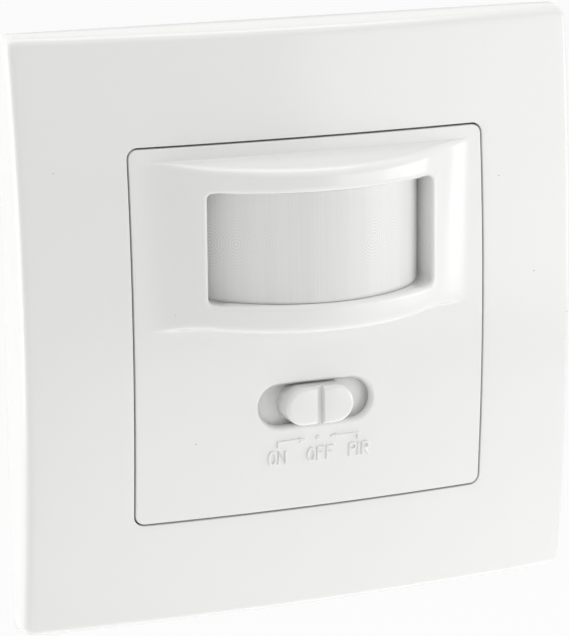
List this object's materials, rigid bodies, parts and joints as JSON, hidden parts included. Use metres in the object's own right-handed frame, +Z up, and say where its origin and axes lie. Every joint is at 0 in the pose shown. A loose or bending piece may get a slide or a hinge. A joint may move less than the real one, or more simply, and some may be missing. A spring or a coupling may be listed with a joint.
{
  "type": "motion sensor light switch",
  "caption": "Square flush wall light switch with a domed frame, a curved lens hood for its motion sensor and a sliding mode knob.",
  "frame": {"origin": "centre of the wall box's screw pattern, on the wall's face at the rear of the support ring", "axes": "+Z up as mounted, +X to the right seen from the room, +Y into the wall"},
  "size_m": [0.08, 0.0468, 0.08],
  "materials": {
    "white_front": "moulded white, satin gloss",
    "lens_milk": "milky translucent sheet",
    "white_inner": "moulded white, fine matt",
    "retainer_grey": "moulded light grey",
    "black_plastic": "moulded black",
    "zinc_steel": "bright zinc plated sheet",
    "brass": "bare brass",
    "board_green": "solder mask on glass laminate",
    "window_dark": "polished infrared filter",
    "sensor_clear": "clear cast resin",
    "trimmer_blue": "moulded blue",
    "rotor_white": "moulded white",
    "relay_black": "moulded case",
    "capacitor_yellow": "moulded box",
    "capacitor_sleeve": "shrink sleeve",
    "resistor_grey": "flameproof coat",
    "terminal_green": "moulded green"
  },
  "bodies": {
    "base": {"outer_frame": "white_front", "front_cover": "white_front", "fresnel_lens": "lens_milk", "lens_retainer": "retainer_grey", "switch_case": "zinc_steel", "switch_base": "black_plastic", "switch_studs": "brass", "inner_cover": "white_inner", "cover_screws": "zinc_steel", "support_ring": "zinc_steel", "rear_housing": "white_inner", "sensor_board": "board_green", "board_screws": "zinc_steel", "pir_base": "zinc_steel", "pir_can": "zinc_steel", "pir_window": "window_dark", "light_sensor": "sensor_clear", "time_trimmer": "trimmer_blue", "lux_trimmer": "trimmer_blue", "detector_chip": "black_plastic", "board_header": "black_plastic", "power_board": "board_green", "relay": "relay_black", "dropper_capacitor": "capacitor_yellow", "smoothing_capacitor": "capacitor_sleeve", "varistor": "trimmer_blue", "fuse_resistor": "resistor_grey", "rectifier_diodes": "black_plastic", "terminal_block": "terminal_green", "terminal_cages": "brass", "terminal_screws": "zinc_steel"},
    "mode_slider": {"mode_knob": "white_front", "switch_lever": "black_plastic", "switch_contact": "brass"},
    "time_dial": {"time_rotor": "rotor_white"},
    "lux_dial": {"lux_rotor": "rotor_white"}
  },
  "joints": [
    {"name": "mode_slide", "type": "slide", "parent": "base", "child": "mode_slider", "axis": [1, 0, 0], "range_m": [-0.003, 0.003]},
    {"name": "time_turn", "type": "hinge", "parent": "base", "child": "time_dial", "pos_m": [-0.01252, 0.0032, 0], "axis": [0, 1, 0], "range_deg": [-105, 105]},
    {"name": "lux_turn", "type": "hinge", "parent": "base", "child": "lux_dial", "pos_m": [0.01252, 0.0032, 0], "axis": [0, 1, 0], "range_deg": [-105, 105]}
  ]
}
